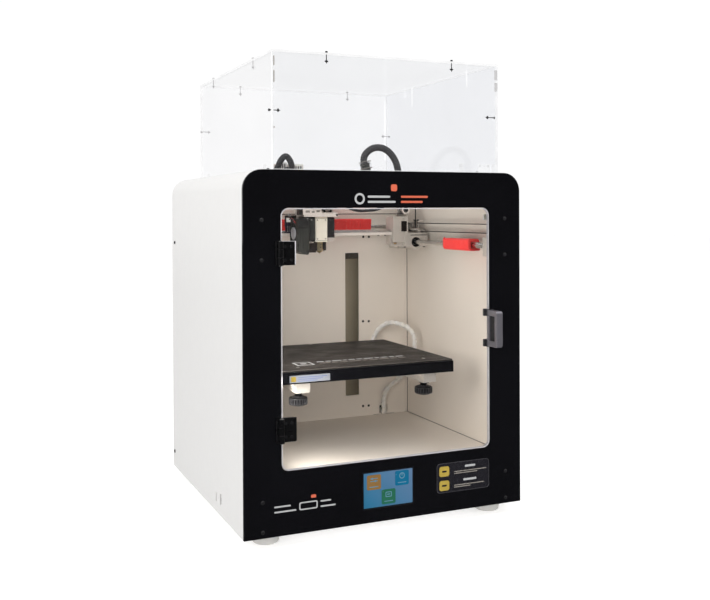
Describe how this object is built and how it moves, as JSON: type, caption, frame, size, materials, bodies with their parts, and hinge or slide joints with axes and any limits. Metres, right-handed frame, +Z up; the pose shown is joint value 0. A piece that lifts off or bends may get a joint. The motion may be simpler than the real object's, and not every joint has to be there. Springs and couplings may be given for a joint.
{
  "type": "enclosed desktop filament printer",
  "caption": "White-cased desktop filament printer with black glazed front, hinged clear door, lift-off clear hood, gantry head, screw-driven heated bed and touch screen.",
  "frame": {"origin": "on the floor plane, under the middle of the bounding box", "axes": "+Z up, +Y from the glazed front to the back, +X to the right seen from the front"},
  "size_m": [0.405, 0.424, 0.6285],
  "materials": {
    "white_case": "fine white powder coat",
    "chamber_white": "white powder coat under warm light",
    "front_black": "polished black",
    "display": "lit touch display",
    "clear_acrylic": "clear, polished edges",
    "foot_rubber": "matt",
    "ground_steel": "ground",
    "pale_aluminium": "bead-blasted",
    "handle_grey": "anodised grey",
    "black_plastic": "moulded",
    "bed_black": "textured print surface",
    "brass": "turned",
    "red_clip": "printed plastic",
    "motor_black": "satin black",
    "hotend_white": "heat-resistant sleeve"
  },
  "bodies": {
    "frame": {"outer_casing": "white_case", "chassis_pan": "white_case", "front_panel": "front_black", "chamber_liner": "chamber_white", "chamber_floor": "chamber_white", "touchscreen": "display", "foot_front_left": "foot_rubber", "foot_front_right": "foot_rubber", "foot_rear_left": "foot_rubber", "foot_rear_right": "foot_rubber", "hinge_upper_frame_leaf": "black_plastic", "hinge_lower_frame_leaf": "black_plastic", "z_motor": "motor_black", "z_rod_left": "ground_steel", "z_rod_right": "ground_steel", "y_rod_left": "ground_steel", "y_rod_right": "ground_steel", "y_end_block_left": "pale_aluminium", "y_end_block_right": "pale_aluminium", "drive_shaft_bracket": "pale_aluminium", "y_motor": "motor_black", "power_inlet": "black_plastic"},
    "door": {"door_glass": "clear_acrylic", "door_handle": "handle_grey", "hinge_upper_door_leaf": "black_plastic", "hinge_lower_door_leaf": "black_plastic"},
    "hood": {"hood_front": "clear_acrylic", "hood_back": "clear_acrylic", "hood_left": "clear_acrylic", "hood_right": "clear_acrylic", "hood_top": "clear_acrylic"},
    "bed": {"bed_frame": "pale_aluminium", "heated_bed": "bed_black", "build_plate": "bed_black", "z_carriage": "pale_aluminium"},
    "z_screw": {"z_screw": "ground_steel"},
    "knob_front_left": {"bed_knob_front_left": "black_plastic"},
    "knob_front_right": {"bed_knob_front_right": "black_plastic"},
    "knob_rear": {"bed_knob_rear": "black_plastic"},
    "drive_shaft": {"y_drive_shaft": "ground_steel"},
    "y_motor_pulley": {"y_motor_pulley": "pale_aluminium"},
    "gantry": {"gantry_block_left": "pale_aluminium", "gantry_block_right": "pale_aluminium", "x_beam": "white_case", "x_rail": "ground_steel", "x_motor": "motor_black"},
    "x_motor_pulley": {"x_motor_pulley": "pale_aluminium"},
    "x_idler": {"x_idler_pulley": "pale_aluminium"},
    "head": {"head_carriage": "pale_aluminium", "hotend_cover": "hotend_white", "nozzle": "brass", "blower_housing": "black_plastic", "extruder_motor": "motor_black"},
    "blower_rotor": {"blower_rotor": "black_plastic"},
    "extruder_gear": {"extruder_gear": "ground_steel"},
    "clip_x_left": {"transport_clip_x_left": "red_clip"},
    "clip_x_right": {"transport_clip_x_right": "red_clip"},
    "clip_y_left": {"transport_clip_y_left": "red_clip"},
    "clip_y_right": {"transport_clip_y_right": "red_clip"},
    "rocker": {"power_rocker": "black_plastic"}
  },
  "joints": [
    {"name": "door_hinge", "type": "hinge", "parent": "frame", "child": "door", "pos_m": [-0.155, -0.192, 0.095], "axis": [0, 0, -1], "range_deg": [0, 175]},
    {"name": "hood_lift", "type": "slide", "parent": "frame", "child": "hood", "axis": [0, 0, 1], "range_m": [0, 0.2]},
    {"name": "bed_z", "type": "slide", "parent": "frame", "child": "bed", "axis": [0, 0, 1], "range_m": [-0.058, 0.149]},
    {"name": "z_screw_turn", "type": "hinge", "parent": "frame", "child": "z_screw", "pos_m": [0, 0.166, 0.058], "axis": [0, 0, 1], "continuous": true},
    {"name": "knob_front_left_turn", "type": "hinge", "parent": "bed", "child": "knob_front_left", "pos_m": [-0.097, -0.0945, 0.159], "axis": [0, 0, 1], "range_deg": [-360, 360]},
    {"name": "knob_front_right_turn", "type": "hinge", "parent": "bed", "child": "knob_front_right", "pos_m": [0.097, -0.0945, 0.159], "axis": [0, 0, 1], "range_deg": [-360, 360]},
    {"name": "knob_rear_turn", "type": "hinge", "parent": "bed", "child": "knob_rear", "pos_m": [0, 0.112, 0.159], "axis": [0, 0, 1], "range_deg": [-360, 360]},
    {"name": "gantry_y", "type": "slide", "parent": "frame", "child": "gantry", "axis": [0, 1, 0], "range_m": [-0.104, 0.008]},
    {"name": "drive_shaft_turn", "type": "hinge", "parent": "frame", "child": "drive_shaft", "pos_m": [0, 0.106, 0.398], "axis": [1, 0, 0], "continuous": true},
    {"name": "y_motor_pulley_turn", "type": "hinge", "parent": "frame", "child": "y_motor_pulley", "pos_m": [-0.119, 0.164, 0.398], "axis": [1, 0, 0], "continuous": true},
    {"name": "head_x", "type": "slide", "parent": "gantry", "child": "head", "axis": [1, 0, 0], "range_m": [-0.071, 0.095]},
    {"name": "x_motor_pulley_turn", "type": "hinge", "parent": "gantry", "child": "x_motor_pulley", "pos_m": [-0.148, 0.0535, 0.4265], "axis": [0, 1, 0], "continuous": true},
    {"name": "x_idler_turn", "type": "hinge", "parent": "gantry", "child": "x_idler", "pos_m": [0.1413, 0.0535, 0.4265], "axis": [0, 1, 0], "continuous": true},
    {"name": "extruder_gear_turn", "type": "hinge", "parent": "head", "child": "extruder_gear", "pos_m": [-0.0135, 0.04, 0.45015], "axis": [0, 1, 0], "continuous": true},
    {"name": "blower_spin", "type": "hinge", "parent": "head", "child": "blower_rotor", "pos_m": [-0.05, 0.03, 0.3912], "axis": [1, 0, 0], "continuous": true},
    {"name": "clip_x_left_pull", "type": "slide", "parent": "frame", "child": "clip_x_left", "axis": [0, 0, 1], "range_m": [0, 0.03]},
    {"name": "clip_x_right_pull", "type": "slide", "parent": "frame", "child": "clip_x_right", "axis": [0, 0, 1], "range_m": [0, 0.03]},
    {"name": "clip_y_left_pull", "type": "slide", "parent": "frame", "child": "clip_y_left", "axis": [1, 0, 0], "range_m": [0, 0.02]},
    {"name": "clip_y_right_pull", "type": "slide", "parent": "frame", "child": "clip_y_right", "axis": [-1, 0, 0], "range_m": [0, 0.02]},
    {"name": "power_rocker_tilt", "type": "hinge", "parent": "frame", "child": "rocker", "pos_m": [0.14, 0.205, 0.082], "axis": [1, 0, 0], "range_deg": [-8, 8]}
  ],
  "couplings": [
    {"joint": "z_screw_turn", "follows": "bed_z", "rad_per_m": 785.4},
    {"joint": "drive_shaft_turn", "follows": "gantry_y", "rad_per_m": 156.99},
    {"joint": "y_motor_pulley_turn", "follows": "gantry_y", "rad_per_m": 156.99},
    {"joint": "x_motor_pulley_turn", "follows": "head_x", "rad_per_m": -156.99},
    {"joint": "x_idler_turn", "follows": "head_x", "rad_per_m": -156.99}
  ]
}
